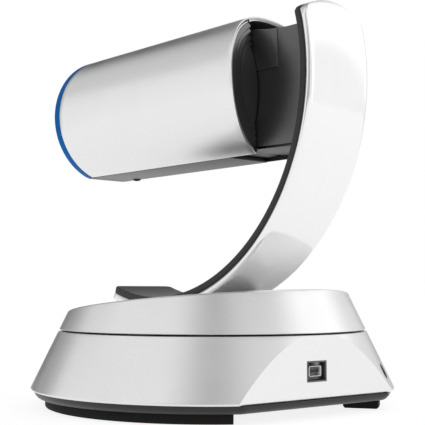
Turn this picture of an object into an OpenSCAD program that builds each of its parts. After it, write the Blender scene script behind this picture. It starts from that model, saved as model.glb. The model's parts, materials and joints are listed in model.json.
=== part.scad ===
/* [Base] */
// Largest radius of the base skirt
base_radius = 90; // [70:1:110]
// Height of the widest line of the base above the table
lip_height = 9.2; // [6:0.2:14]
// How much the radius shrinks for each mm up the base cone
cone_slope = 0.4813; // [0.3:0.0001:0.6]
// Height of the split line between the fixed base and the turntable
seam_height = 36.5; // [28:0.5:42]
// Open gap at the split line
seam_gap = 0.8; // [0.4:0.1:1.5]
// Wall of the moulded base covers
cover_wall = 2.6; // [2:0.1:4]
// Distance of the flat rear panel from the pan axis
facet_distance = 76.3; // [70:0.1:80]
// How far the base stands turned clockwise under the arm, in degrees
base_turn = 2.8; // [0:0.1:6]
// Height of the base plate's underside
plate_bottom = 4.5; // [3:0.1:6]
// Height where the base cover meets the base plate
plate_top = 8.2; // [6:0.1:10]
// Outer radius of the rubber foot ring
foot_outer_radius = 82.9; // [70:0.1:88]
// Inner radius of the rubber foot ring
foot_inner_radius = 66; // [50:1:76]
// Half of the opening in the foot ring at the rear, in degrees
foot_gap_half_angle = 33; // [10:1:60]

/* [Data port] */
// Sideways place of the port on the rear panel
port_offset = 2.5; // [-20:0.1:20]
// Height of the port's centre
port_height = 20.6; // [16:0.1:26]
// Width of the port opening
port_width = 12.3; // [10:0.1:16]
// Height of the port opening
port_tall = 9.3; // [8:0.1:12]

/* [Turntable] */
// Height of the slanted top at the pan axis
top_height = 50.35; // [44:0.05:60]
// Slant of the top, rising to the rear, in degrees
top_slant = 5.6; // [0:0.1:12]
// Radius of the fixed pan post
post_radius = 20; // [14:0.5:26]
// Radial running clearance of the pan bearing
running_gap = 0.05; // [0.01:0.01:0.1]

/* [Gears] */
// Teeth on the large pan gear
pan_gear_teeth = 88; // [60:1:110]
// Teeth on the pan pinion
pan_pinion_teeth = 16; // [12:1:24]
// Teeth on the tilt gear
tilt_gear_teeth = 34; // [24:1:36]
// Teeth on the tilt pinion
tilt_pinion_teeth = 10; // [9:1:14]
// Gear module, tooth pitch divided by pi
gear_module = 1; // [0.8:0.1:1.2]

/* [Arm] */
// Inner radius of the curved arm, at its dark liner
arm_inner_radius = 102; // [90:0.5:120]
// Radius where the liner meets the bright shell
arm_split_radius = 105.4; // [95:0.1:122]
// Outer radius of the arm
arm_outer_radius = 109.7; // [98:0.1:130]
// Width of the arm
arm_width = 40; // [30:0.5:50]
// Depth position of the arm's centre of curvature
arm_centre_y = -23; // [-40:0.5:0]
// Height of the arm's centre of curvature
arm_centre_z = 155; // [130:0.5:170]
// How far the arm's foot reaches forward of straight down, in degrees
arm_front_angle = 19.6; // [5:0.1:30]

/* [Head] */
// Radius of the camera barrel
head_radius = 35.5; // [28:0.1:42]
// Height of the barrel's centre line
head_height = 153.36; // [140:0.01:170]
// Wall of the barrel
head_wall = 2; // [1.5:0.1:3]
// Depth position of the front edge of the barrel
head_front_y = -92.6; // [-110:0.1:-70]
// Length of the coloured front ring
ring_length = 5; // [3:0.1:8]
// Height of the flat underside
flat_height = 120; // [117:0.1:124]
// Depth position where the flat underside ends and the slot starts
flat_end_y = 27.2; // [15:0.1:35]
// Radius of the curved rear edge seen from the side
rear_edge_radius = 60.3; // [50:0.1:80]
// Depth position of the rear edge curve's centre
rear_edge_y = -8; // [-20:0.5:5]
// Height of the rear edge curve's centre
rear_edge_z = 150; // [140:0.5:160]

/* [Tilt joint] */
// Depth position of the tilt axis
tilt_y = 30; // [20:0.5:40]
// Height of the tilt axis
tilt_z = 149.3; // [140:0.1:160]
// Width of the neck
neck_width = 24; // [20:0.5:34]
// Radius of the neck's round front end
neck_drum_radius = 27; // [18:0.5:28]
// Height of the neck's underside at the arm
neck_bottom = 121.8; // [116:0.1:130]
// Height of the neck's top at the arm
neck_top = 177; // [165:0.1:182]
// Thickness of the grey sole under the neck
sole_thickness = 0.8; // [0.6:0.1:2]

/* [Zoom optics] */
// Outer radius of the lens barrel
optic_radius = 24; // [18:0.5:28]
// Rest position of the zoom carriage along the barrel
zoom_y = -55; // [-65:1:-45]
// Rest position of the focus carriage along the barrel
focus_y = -26; // [-30:1:-22]
// Radius of the two guide rods
rod_radius = 1.2; // [0.8:0.1:2]

/* [Hidden] */
$fn = 96;
// Slack for cuts that run past a face
e = 1;
// Height of the turntable skirt's lower edge
turn_bottom = seam_height + seam_gap;
// Cover wall measured level
level_wall = cover_wall * 1.11;
// Rear panel plane on the base plate
plate_facet = facet_distance - 0.3;
// Inner radius of the barrel
head_inner = head_radius - head_wall;
// Depth of the front of the barrel tube
tube_front = head_front_y + ring_length;
// Half width of the flat underside panel
flat_half = 12.4;
// Half width of the neck
neck_half = neck_width / 2;
// Half width of the neck's hollow
neck_hollow = neck_half - 2;
// Centre distance of the pan gears
pan_centres = gear_module * (pan_gear_teeth + pan_pinion_teeth) / 2;
// Centre distance of the tilt gears
tilt_centres = gear_module * (tilt_gear_teeth + tilt_pinion_teeth) / 2;
// Screw positions under the base
base_screw_spots = [[42.4, 42.4], [-42.4, 42.4], [42.4, -42.4], [-42.4, -42.4]];
// Screw positions that hold the turntable cover
cover_spots = [[46, 34], [-46, 34], [46, -34], [-46, -34]];
// Screw positions that hold the arm
arm_spots = [[11, -42], [-11, -42], [11, -31], [-11, -31]];
// Screw positions that hold the neck on the arm, as X and height
neck_spots = [[8.5, 136], [-8.5, 136], [8.5, 165], [-8.5, 165]];
// Screw positions that join the neck halves, as depth and height
joint_screw_spots = [[62, 130], [40, 131]];
// Positions of the guide rods across the barrel
rod_spots = [-16.5, 16.5];
// Steps of the rear cowl, as outer radius, inner radius and depth below the rim
cowl_steps = [[33.5, 30.6, 1.5], [30.8, 28, 2.8], [28.2, 25.2, 4.1], [25.4, 23.2, 5.4], [23.4, 0, 6.4]];

function cone_r(z) = base_radius - cone_slope * (z - lip_height);

// A slice of the base cone between two heights, made smaller all round by inset
module cone_slice(z0, z1, inset = 0) {
    translate([0, 0, z0])
        cylinder(h = z1 - z0, r1 = cone_r(z0) - inset, r2 = cone_r(z1) - inset);
}

// Turns the fixed base's own directions to where they stand under the arm
module as_base_stands() {
    rotate([0, 0, -base_turn])
        children();
}

// Everything in front of the flat rear panel
module before_facet(distance) {
    as_base_stands()
        translate([-150, distance - 300, -20])
            cube([300, 300, 120]);
}

// Everything above the slanted top, lowered by drop
module above_top(drop = 0) {
    translate([0, 0, top_height - drop])
        rotate([top_slant, 0, 0])
            translate([-150, -150, 0])
                cube([300, 300, 80]);
}

// Places a child so that its local Z runs along row X at the arm's centre
module at_arm_centre() {
    translate([0, arm_centre_y, arm_centre_z])
        rotate([0, 90, 0]) {
            $fn = 240;
            children();
        }
}

// A round bar along row X
module bar_x(x0, x1, y, z, r) {
    translate([x0, y, z])
        rotate([0, 90, 0])
            cylinder(h = x1 - x0, r = r);
}

// A round bar along row Y
module bar_y(y0, y1, x, z, r) {
    translate([x, y0, z])
        rotate([-90, 0, 0])
            cylinder(h = y1 - y0, r = r);
}

// A tube along row Y
module tube_y(y0, y1, x, z, r_out, r_in) {
    difference() {
        bar_y(y0, y1, x, z, r_out);
        bar_y(y0 - e, y1 + e, x, z, r_in);
    }
}

// A spur gear outline with stub teeth that run with backlash
module gear_outline(teeth) {
    pitch = gear_module * teeth / 2;
    root = pitch - 1.15 * gear_module;
    tip = pitch + 0.6 * gear_module;
    union() {
        circle(r = root + 0.01);
        for (k = [0 : teeth - 1])
            rotate([0, 0, k * 360 / teeth])
                polygon([
                    [root - 0.6, -0.75 * gear_module],
                    [pitch, -0.55 * gear_module],
                    [tip, -0.3 * gear_module],
                    [tip, 0.3 * gear_module],
                    [pitch, 0.55 * gear_module],
                    [root - 0.6, 0.75 * gear_module]
                ]);
    }
}

// ---- fixed base ----

// Lower base cover with the flat rear panel
module base_shell() {
    color([0.84, 0.85, 0.86])
        difference() {
            union() {
                difference() {
                    intersection() {
                        union() {
                            translate([0, 0, plate_top])
                                cylinder(
                                    h = lip_height - plate_top,
                                    r1 = base_radius - 1,
                                    r2 = base_radius
                                );
                            cone_slice(lip_height, seam_height);
                        }
                        before_facet(facet_distance);
                    }
                    intersection() {
                        cone_slice(plate_top - e, seam_height - 2.4, level_wall);
                        before_facet(facet_distance - cover_wall);
                    }
                    translate([0, 0, seam_height - 10])
                        cylinder(h = 20, r = 54);
                }
                for (p = base_screw_spots)
                    as_base_stands()
                        translate([p[0], p[1], plate_top])
                            cylinder(h = seam_height - 2 - plate_top, r = 4.5);
            }
            for (p = base_screw_spots)
                as_base_stands()
                    translate([p[0], p[1], plate_top - e])
                        cylinder(h = 14 + e, r = 1.5);
            as_base_stands()
                translate([
                    port_offset - port_width / 2,
                    facet_distance - 12,
                    port_height - port_tall / 2
                ])
                    cube([port_width, 20, port_tall]);
            lock_slot_place()
                lock_slot_block(5.8, 8, 14);
        }
}

// Places a child at the lock slot, local Y along the surface normal
module lock_slot_place() {
    rotate([0, 0, 30.2])
        translate([0, cone_r(18), 18])
            rotate([25.7, 0, 0])
                children();
}

// A block with round ends, long along the cone
module lock_slot_block(w, l, depth) {
    rotate([90, 0, 0])
        translate([0, 0, -depth / 2])
            union() {
                translate([0, (l - w) / 2, 0])
                    cylinder(h = depth, r = w / 2);
                translate([0, -(l - w) / 2, 0])
                    cylinder(h = depth, r = w / 2);
                translate([-w / 2, -(l - w) / 2, 0])
                    cube([w, l - w, depth]);
            }
}

// Metal-lined slot for a security cable lock
module lock_slot_insert() {
    color([0.16, 0.16, 0.17])
        intersection() {
            lock_slot_place()
                difference() {
                    translate([0, -3.2, 0])
                        lock_slot_block(5.8, 8, 6.4);
                    translate([0, -1.6, 0])
                        lock_slot_block(4, 6.2, 6.4);
                }
            cone_slice(plate_top, seam_height);
        }
}

// Dark base plate with a curved-under edge and the tripod boss
module base_plate() {
    color([0.17, 0.17, 0.18])
        difference() {
            union() {
                intersection() {
                    rotate_extrude()
                        polygon([
                            [0, plate_bottom],
                            [85.2, plate_bottom],
                            [86.6, plate_bottom + 0.5],
                            [87.7, plate_bottom + 1.6],
                            [88.3, plate_top - 0.8],
                            [88.4, plate_top],
                            [0, plate_top]
                        ]);
                    before_facet(plate_facet);
                }
                translate([0, 0, 1.2])
                    cylinder(h = plate_bottom - 1, r = 12);
                translate([0, 0, plate_top - 0.2])
                    cylinder(h = 6, r = 9);
            }
            translate([0, 0, 0])
                cylinder(h = 12.2, r = 6);
            for (p = base_screw_spots)
                as_base_stands() {
                    translate([p[0], p[1], 0])
                        cylinder(h = 20, r = 1.5);
                    translate([p[0], p[1], 0])
                        cylinder(h = 6.5, r = 3.2);
                }
        }
}

// Rubber foot ring, open at the rear
module foot_ring() {
    color([0.07, 0.07, 0.07])
        difference() {
            cylinder(h = plate_bottom, r = foot_outer_radius);
            translate([0, 0, -e])
                cylinder(h = plate_bottom + 2 * e, r = foot_inner_radius);
            as_base_stands()
                translate([0, 0, -e])
                    linear_extrude(height = plate_bottom + 2 * e)
                        polygon([
                            [0, 0],
                            [-110 * sin(foot_gap_half_angle), 110 * cos(foot_gap_half_angle)],
                            [0, 140],
                            [110 * sin(foot_gap_half_angle), 110 * cos(foot_gap_half_angle)]
                        ]);
        }
}

// Brass insert for a tripod or ceiling-mount screw
module tripod_insert() {
    color([0.78, 0.62, 0.3])
        difference() {
            translate([0, 0, 1.2])
                cylinder(h = 11, r = 6);
            translate([0, 0, 0])
                cylinder(h = 11.2, r = 3.175);
        }
}

// Black plastic cup around the data port, with a half-round key
module port_cup() {
    color([0.08, 0.08, 0.09])
        as_base_stands()
            translate([port_offset, facet_distance, port_height])
                difference() {
                    union() {
                        difference() {
                            translate([-port_width / 2, -8, -port_tall / 2])
                                cube([port_width, 8, port_tall]);
                            translate([-port_width / 2 + 0.8, -3.2, -port_tall / 2 + 0.8])
                                cube([port_width - 1.6, 4, port_tall - 1.6]);
                        }
                        translate([0, -3.3, port_tall / 2 - 0.6])
                            rotate([-90, 0, 0])
                                cylinder(h = 3.3, r = 1.5);
                    }
                    translate([-3.85, -9, -2.35])
                        cube([7.7, 12, 4.7]);
                    translate([-port_width, -9, port_tall / 2])
                        cube([2 * port_width, 12, 4]);
                }
}

// Metal shell of the data connector
module port_shell() {
    color([0.75, 0.76, 0.78])
        as_base_stands()
            translate([port_offset, facet_distance, port_height])
                difference() {
                    translate([-3.85, -10.5, -2.35])
                        cube([7.7, 9.4, 4.7]);
                    translate([-3.45, -9.6, -1.95])
                        cube([6.9, 9.4, 3.9]);
                }
}

// Contact tongue inside the data connector
module port_tongue() {
    color([0.05, 0.05, 0.05])
        as_base_stands()
            translate([port_offset - 2.6, facet_distance - 9.6, port_height - 0.6])
                cube([5.2, 7.2, 1.2]);
}

// Control board in the base
module main_board() {
    color([0.05, 0.3, 0.14])
        as_base_stands()
            difference() {
                translate([-34, 20, port_height - 3.95])
                    cube([68, 48, 1.6]);
                translate([0, 0, 10])
                    cylinder(h = 12, r = 28);
            }
}

// Image processor with its heat spreader
module main_processor() {
    color([0.1, 0.1, 0.11])
        as_base_stands()
            union() {
                translate([-24, 40, port_height - 2.35])
                    cube([17, 17, 1.4]);
                for (k = [0 : 4])
                    translate([-24 + k * 4, 40, port_height - 0.95])
                        cube([1, 17, 3]);
            }
}

// Pillars that carry the control board
module board_standoffs() {
    color([0.72, 0.6, 0.32])
        as_base_stands()
            for (p = [[-30, 32], [30, 32], [-30, 64], [30, 64]])
                translate([p[0], p[1], plate_top])
                    cylinder(h = port_height - 3.95 - plate_top, r = 2.5);
}

// Hollow fixed post that the turntable turns on
module pan_post() {
    color([0.6, 0.61, 0.63])
        difference() {
            union() {
                translate([0, 0, plate_top])
                    cylinder(h = 2.2, r = 30);
                translate([0, 0, plate_top])
                    cylinder(h = 32.1, r = post_radius);
                translate([0, 0, 21.5])
                    cylinder(h = 2.2, r = 27);
            }
            translate([0, 0, plate_top - e])
                cylinder(h = 40, r = 15);
        }
}

// Ring that keeps the turntable on its post
module pan_retainer() {
    color([0.45, 0.46, 0.48])
        difference() {
            translate([0, 0, 40.3])
                cylinder(h = 2.2, r = 25);
            translate([0, 0, 39])
                cylinder(h = 5, r = 15);
        }
}

// Pan stepper motor with its bearing collar
module pan_motor() {
    color([0.3, 0.31, 0.33])
        difference() {
            union() {
                translate([-14, -pan_centres - 14, plate_top])
                    cube([28, 28, 1.6]);
                translate([-13.5, -pan_centres - 13.5, plate_top + 1.6])
                    cube([27, 27, 9.4]);
                translate([-14, -pan_centres - 14, plate_top + 11])
                    cube([28, 28, 1.6]);
                translate([0, -pan_centres, plate_top + 12.6])
                    cylinder(h = 1.2, r = 6);
            }
            translate([0, -pan_centres, plate_top + 2])
                cylinder(h = 20, r = 2 + running_gap);
        }
}

// Screws that close the base
module base_screws() {
    color([0.25, 0.25, 0.26])
        as_base_stands()
            for (p = base_screw_spots)
                translate([p[0], p[1], plate_bottom + 0.1])
                    difference() {
                        union() {
                            cylinder(h = 1.9, r = 3.2);
                            translate([0, 0, 1.9])
                                cylinder(h = 13, r = 1.5);
                        }
                        translate([-2, -0.35, -e])
                            cube([4, 0.7, 1 + e]);
                        translate([-0.35, -2, -e])
                            cube([0.7, 4, 1 + e]);
                    }
}

// ---- turntable and arm ----

// Turning upper cover with the slanted top
module turntable_shell() {
    color([0.86, 0.87, 0.88])
        difference() {
            union() {
                difference() {
                    cone_slice(turn_bottom, 62);
                    intersection() {
                        cone_slice(turn_bottom - e, 62, level_wall);
                        difference() {
                            translate([-150, -150, 0])
                                cube([300, 300, 100]);
                            above_top(2.5);
                        }
                    }
                }
                for (p = cover_spots)
                    translate([p[0], p[1], 40])
                        cylinder(h = 14, r = 4.5);
            }
            above_top();
            for (p = cover_spots)
                translate([p[0], p[1], 39])
                    cylinder(h = 6, r = 1.5);
            intersection() {
                at_arm_centre()
                    cylinder(h = arm_width, r = arm_outer_radius, center = true);
                translate([-30, -80, 40])
                    cube([60, 120, 30]);
            }
            arm_screw_holes();
        }
}

// Clear holes for the arm screws
module arm_screw_holes() {
    for (p = arm_spots)
        translate([p[0], p[1], 30])
            cylinder(h = 20, r = 1.5);
}

// Steel plate with the pan sleeve
module turntable_chassis() {
    color([0.62, 0.63, 0.65])
        difference() {
            union() {
                translate([0, 0, 38])
                    cylinder(h = 2, r = 72.1);
                translate([0, 0, 24])
                    cylinder(h = 15, r = 26);
            }
            translate([0, 0, 20])
                cylinder(h = 30, r = post_radius + running_gap);
            for (p = cover_spots)
                translate([p[0], p[1], 30])
                    cylinder(h = 20, r = 1.5);
            arm_screw_holes();
            for (a = [0 : 3])
                rotate([0, 0, a * 90])
                    translate([54, 0, 30])
                        cylinder(h = 20, r = 8);
        }
}

// Large gear on the sleeve
module pan_gear() {
    color([0.87, 0.86, 0.8])
        difference() {
            union() {
                translate([0, 0, 25.6])
                    linear_extrude(height = 4)
                        gear_outline(pan_gear_teeth);
                translate([0, 0, 25.6])
                    cylinder(h = 7, r = 30);
            }
            translate([0, 0, 20])
                cylinder(h = 20, r = 26);
            for (a = [0 : 5])
                rotate([0, 0, a * 60 + 15])
                    translate([36, 0, 20])
                        cylinder(h = 20, r = 3.6);
        }
}

// Screws that hold the turntable cover on its plate
module turntable_screws() {
    color([0.3, 0.3, 0.31])
        for (p = cover_spots)
            translate([p[0], p[1], 0]) {
                translate([0, 0, 37.2])
                    cylinder(h = 0.8, r = 3);
                translate([0, 0, 38])
                    cylinder(h = 6.5, r = 1.5);
            }
}

// Outline seen from above that rounds the arm's front corners
module arm_plan() {
    front = arm_centre_y - arm_outer_radius * sin(arm_front_angle);
    half = arm_width / 2;
    translate([0, 0, 30])
        linear_extrude(height = 170)
            union() {
                translate([-half, front + 4])
                    square([arm_width, 170]);
                translate([-half + 4, front - 1])
                    square([arm_width - 8, 10]);
                translate([half - 4, front + 4])
                    circle(r = 4);
                translate([-half + 4, front + 4])
                    circle(r = 4);
            }
}

// Arched limit of the arm's top, in line with the barrel
module arm_top_limit() {
    union() {
        translate([0, 0, head_height])
            rotate([-90, 0, 0])
                cylinder(h = 120, r = head_radius - 1.1);
        translate([-30, -90, 20])
            cube([60, 210, head_height - 20]);
    }
}

// Sweeps an outline (radius, x) along the arm's curve
module arm_sweep(points) {
    intersection() {
        at_arm_centre()
            rotate([0, 0, -arm_front_angle])
                rotate_extrude(angle = arm_front_angle + 112)
                    polygon(points);
        arm_plan();
        arm_top_limit();
    }
}

// Bright outer channel of the arm
module arm_shell() {
    color([0.9, 0.91, 0.92])
        difference() {
            arm_sweep([
                [arm_split_radius, -20],
                [arm_outer_radius - 1, -20],
                [arm_outer_radius - 0.3, -19.5],
                [arm_outer_radius, -18.4],
                [arm_outer_radius, 18.4],
                [arm_outer_radius - 0.3, 19.5],
                [arm_outer_radius - 1, 20],
                [arm_split_radius, 20]
            ]);
            at_arm_centre()
                rotate([0, 0, -arm_front_angle + 3])
                    rotate_extrude(angle = arm_front_angle + 98)
                        polygon([
                            [arm_split_radius - 1, -17],
                            [arm_split_radius + 2.2, -17],
                            [arm_split_radius + 2.2, 17],
                            [arm_split_radius - 1, 17]
                        ]);
            arm_screw_holes();
        }
}

// Dark inner cover of the arm
module arm_liner() {
    color([0.2, 0.2, 0.21])
        difference() {
            arm_sweep([
                [arm_inner_radius + 0.8, -20],
                [arm_split_radius, -20],
                [arm_split_radius, 20],
                [arm_inner_radius + 0.8, 20],
                [arm_inner_radius, 19.2],
                [arm_inner_radius, -19.2]
            ]);
            for (p = neck_spots)
                bar_y(60, 100, p[0], p[1], 1.5);
        }
}

// Bright fairing that closes the gap under the arm's front end
module arm_fairing() {
    color([0.86, 0.87, 0.88])
        difference() {
            intersection() {
                translate([-17.5, -58, 40])
                    cube([35, 24, 14]);
                above_top();
            }
            at_arm_centre()
                cylinder(h = 60, r = arm_outer_radius, center = true);
            arm_screw_holes();
        }
}

// Block between the turntable plate and the arm's foot
module arm_saddle() {
    color([0.5, 0.51, 0.53])
        difference() {
            translate([-16, -46, 40])
                cube([32, 19, 7]);
            above_top(2.5);
            at_arm_centre()
                cylinder(h = 60, r = arm_outer_radius, center = true);
            arm_screw_holes();
        }
}

// Screws that hold the arm from below
module arm_screws() {
    color([0.3, 0.3, 0.31])
        intersection() {
            for (p = arm_spots)
                translate([p[0], p[1], 0]) {
                    translate([0, 0, 37.2])
                        cylinder(h = 0.8, r = 3);
                    translate([0, 0, 38])
                        cylinder(h = 9.4, r = 1.5);
                }
            translate([-50, -80, 20])
                cube([100, 160, 28]);
        }
}

// ---- neck ----

// Side outline of the neck behind its drum, as depth and height, made smaller by inset
module neck_outline(inset, rear) {
    polygon([
        [tilt_y + 4, tilt_z],
        [tilt_y + 6, tilt_z + neck_drum_radius - 0.8 - inset],
        [40.5, neck_top + 2.8 - inset],
        [43.3, neck_top + 2.6 - inset],
        [52.2, neck_top + 1.1 - inset],
        [64.8, neck_top - inset],
        [rear, neck_top - inset],
        [rear, neck_bottom + inset],
        [65, neck_bottom + inset],
        [38.8 + inset, neck_bottom + 0.6 + inset],
        [38.8 + inset, tilt_z]
    ]);
}

// The neck as a full block between two sides, made smaller by inset
module neck_block(x0, x1, inset, rear) {
    union() {
        along_x(x0, x1)
            neck_outline(inset, rear);
        bar_x(x0, x1, tilt_y, tilt_z, neck_drum_radius - inset);
    }
}

// Extrudes an outline of depth and height along row X
module along_x(x0, x1) {
    translate([x0, 0, 0])
        rotate([90, 0, 90])
            linear_extrude(height = x1 - x0)
                children();
}

// The neck's outside, cut to fit the arm's curve
module neck_solid(x0, x1) {
    intersection() {
        neck_block(x0, x1, 0, 86);
        at_arm_centre()
            cylinder(h = 60, r = arm_inner_radius, center = true);
    }
}

// Space for the removable cap over the tilt drive
module cap_space() {
    translate([-20, 0, 159.4])
        cube([40, 58.6, 40]);
}

// Space for the sole, the lowest skin of the neck
module sole_space() {
    difference() {
        translate([-20, 24.5, 110])
            cube([40, 60, 14.6]);
        neck_block(-25, 25, sole_thickness, 90);
    }
}

// Screws that join the neck halves
module joint_bars() {
    for (p = joint_screw_spots)
        bar_x(1 - neck_half, neck_half - 1, p[0], p[1], 1.4);
}

// One side of the neck between two planes across X
module neck_half_part(x0, x1, y0, y1) {
    color([0.21, 0.21, 0.22])
        difference() {
            neck_solid(x0, x1);
            neck_block(y0, y1, 2, 71);
            cap_space();
            sole_space();
            bar_x(-20, 20, tilt_y, tilt_z, 6);
            for (p = neck_spots)
                bar_y(60, 100, p[0], p[1], 1.5);
            joint_bars();
        }
}

// Left half of the neck
module neck_left() {
    neck_half_part(0, neck_half, -1, neck_hollow);
}

// Right half of the neck
module neck_right() {
    neck_half_part(-neck_half, 0, -neck_hollow, 1);
}

// Removable cap over the tilt drive
module neck_cap() {
    color([0.23, 0.23, 0.24])
        difference() {
            intersection() {
                neck_solid(-neck_half, neck_half);
                translate([-20, 0, 159.65])
                    cube([40, 58.35, 40]);
            }
            neck_block(-neck_hollow, neck_hollow, 2, 71);
        }
}

// Grey sole under the neck
module neck_sole() {
    color([0.53, 0.54, 0.55])
        intersection() {
            neck_solid(-neck_half, neck_half);
            sole_space();
        }
}

// Screws that join the neck halves
module neck_screws() {
    color([0.3, 0.3, 0.31])
        joint_bars();
}

// Screws that hold the neck on the arm
module neck_fixings() {
    color([0.3, 0.3, 0.31])
        for (p = neck_spots) {
            depth = arm_centre_y + sqrt(pow(arm_split_radius, 2) - pow(p[1] - arm_centre_z, 2));
            bar_y(72.5, depth + 0.6, p[0], p[1], 1.5);
            bar_y(depth + 0.6, depth + 1.6, p[0], p[1], 2.8);
        }
}

// Flanged bushings that carry the tilt axle
module axle_bushings() {
    color([0.72, 0.55, 0.3])
        for (s = [-1, 1])
            difference() {
                union() {
                    bar_x(s > 0 ? 10 : -12, s > 0 ? 12 : -10, tilt_y, tilt_z, 6);
                    bar_x(s > 0 ? 9 : -10, s > 0 ? 10 : -9, tilt_y, tilt_z, 8);
                }
                bar_x(-20, 20, tilt_y, tilt_z, 4 + running_gap);
            }
}

// Tilt stepper motor in the neck
module tilt_motor() {
    color([0.3, 0.31, 0.33])
        difference() {
            union() {
                bar_x(1.8, 10, tilt_y + tilt_centres, tilt_z, 9);
                bar_x(1, 1.8, tilt_y + tilt_centres, tilt_z, 4);
            }
            bar_x(0, 9, tilt_y + tilt_centres, tilt_z, 1.5 + running_gap);
        }
}

// ---- camera head ----

// Tube of the head; its front is not limited by the rear edge curve
module head_shell() {
    color([0.85, 0.86, 0.87])
        difference() {
            intersection() {
                bar_y(tube_front, 60, 0, head_height, head_radius);
                union() {
                    bar_x(-50, 50, rear_edge_y, rear_edge_z, rear_edge_radius);
                    translate([-50, -100, 100])
                        cube([100, 92, 100]);
                }
                translate([-60, -120, flat_height])
                    cube([120, 200, 100]);
            }
            bar_y(-120, 80, 0, head_height, head_inner);
            translate([-flat_half, -86, flat_height - 5])
                cube([2 * flat_half, 180, 10]);
        }
}

// Coloured ring at the front edge
module ring_trim() {
    color([0.04, 0.38, 0.66])
        intersection() {
            difference() {
                bar_y(head_front_y, tube_front, 0, head_height, head_radius);
                bar_y(head_front_y - e, tube_front + e, 0, head_height, 33);
            }
            translate([-60, -120, flat_height])
                cube([120, 200, 100]);
        }
}

// Dark bezel around the front window
module front_bezel() {
    color([0.06, 0.06, 0.07])
        intersection() {
            difference() {
                union() {
                    bar_y(head_front_y + 1.4, tube_front, 0, head_height, 33);
                    bar_y(tube_front, tube_front + 1.6, 0, head_height, head_inner);
                }
                bar_y(-120, 0, 0, head_height, 21.5);
                bar_y(-120, head_front_y + 3, 0, head_height, 23);
            }
            translate([-60, -120, flat_height + 2])
                cube([120, 200, 100]);
        }
}

// Round front window
module front_glass() {
    color([0.1, 0.12, 0.15, 0.6])
        bar_y(head_front_y + 1.2, head_front_y + 3, 0, head_height, 23);
}

// Board that lights the front ring
module ring_light_board() {
    color([0.1, 0.3, 0.18])
        intersection() {
            tube_y(tube_front + 1.6, tube_front + 2.8, 0, head_height, 33, 24.4);
            translate([-60, -120, flat_height + 2.2])
                cube([120, 200, 100]);
        }
}

// Barrel that holds the zoom optics
module lens_barrel() {
    color([0.1, 0.1, 0.11])
        difference() {
            bar_y(tube_front + 1.6, -10, 0, head_height, optic_radius);
            bar_y(tube_front + 4, -12, 0, head_height, optic_radius - 1.8);
            bar_y(-100, -80, 0, head_height, 15);
            bar_y(-20, 0, 0, head_height, 8);
            for (x = rod_spots)
                bar_y(tube_front + 2.6, -11, x, head_height, rod_radius);
        }
}

// A round lens along row Y, thick at the rim and bulging by front and back
module lens(y, r, thick, front, back) {
    translate([0, y, head_height])
        rotate([-90, 0, 0])
            rotate_extrude()
                polygon([
                    [0, -thick / 2 - front],
                    [r * 0.35, -thick / 2 - front * 0.88],
                    [r * 0.7, -thick / 2 - front * 0.51],
                    [r, -thick / 2],
                    [r, thick / 2],
                    [r * 0.7, thick / 2 + back * 0.51],
                    [r * 0.35, thick / 2 + back * 0.88],
                    [0, thick / 2 + back]
                ]);
}

// Front lens group
module front_lens() {
    color([0.35, 0.45, 0.6, 0.5])
        lens(-82.5, 15, 4.6, 2.2, 1);
}

// Rods that guide the zoom and focus carriages
module guide_rods() {
    color([0.8, 0.81, 0.82])
        for (x = rod_spots)
            bar_y(tube_front + 2.6, -11, x, head_height, rod_radius);
}

// Image sensor
module image_sensor() {
    color([0.12, 0.16, 0.2])
        translate([-6, -10.2, head_height - 5])
            cube([12, 1.8, 10]);
}

// Sensor board
module sensor_board() {
    color([0.05, 0.3, 0.14])
        translate([-14, -8.4, head_height - 14])
            cube([28, 1.6, 28]);
}

// Spacers between the barrel and the sensor board
module sensor_spacers() {
    color([0.72, 0.6, 0.32])
        for (x = [-11.5, 11.5])
            for (z = [-11.5, 11.5])
                bar_y(-10, -8.4, x, head_height + z, 1.8);
}

// Frame inside the head with the two tilt cheeks
module head_chassis() {
    color([0.55, 0.56, 0.58])
        difference() {
            union() {
                intersection() {
                    bar_y(-3, 0, 0, head_height, head_inner);
                    translate([-60, -20, flat_height + 2])
                        cube([120, 40, 100]);
                }
                for (a = [0 : 3])
                    translate([0, 0, head_height])
                        rotate([0, a * 90, 0])
                            bar_y(-10, -3, 21, 0, 2.6);
                for (s = [-1, 1]) {
                    translate([s > 0 ? 13.2 : -16.2, -0.2, 136])
                        cube([3, tilt_y + 0.2, 27]);
                    bar_x(s > 0 ? 13.2 : -16.2, s > 0 ? 16.2 : -13.2, tilt_y, tilt_z, 13.3);
                }
            }
            bar_x(-30, 30, tilt_y, tilt_z, 4);
            bar_y(-20, 10, 0, head_height, 7);
        }
}

// Stepped dark cowl that closes the rear opening on both sides of the neck
module rear_cowl() {
    color([0.12, 0.12, 0.13])
        difference() {
            union() {
                for (c = cowl_steps)
                    intersection() {
                        bar_y(0, 60, 0, head_height, c[0]);
                        difference() {
                            bar_x(-50, 50, rear_edge_y, rear_edge_z, rear_edge_radius - c[2]);
                            bar_x(-50, 50, rear_edge_y, rear_edge_z, rear_edge_radius - c[2] - 2.4);
                            bar_y(0, 60, 0, head_height, max(c[1], 0.01));
                        }
                    }
            }
            translate([-neck_half - 0.6, -20, 80])
                cube([neck_width + 1.2, 100, 140]);
        }
}

// Flat grey panel under the head
module underside_panel() {
    color([0.53, 0.54, 0.55])
        translate([-flat_half, -86, flat_height])
            cube([2 * flat_half, 86 + flat_end_y, 1.9]);
}

// Small rest stud under the head
module underside_bumper() {
    color([0.12, 0.12, 0.13])
        translate([-9.9, -76, flat_height - 1])
            cylinder(h = 1, r = 2.3);
}

// Steel tilt axle fixed in the head's cheeks
module tilt_axle() {
    color([0.8, 0.81, 0.82])
        bar_x(-17.8, 17.8, tilt_y, tilt_z, 4);
}

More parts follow.
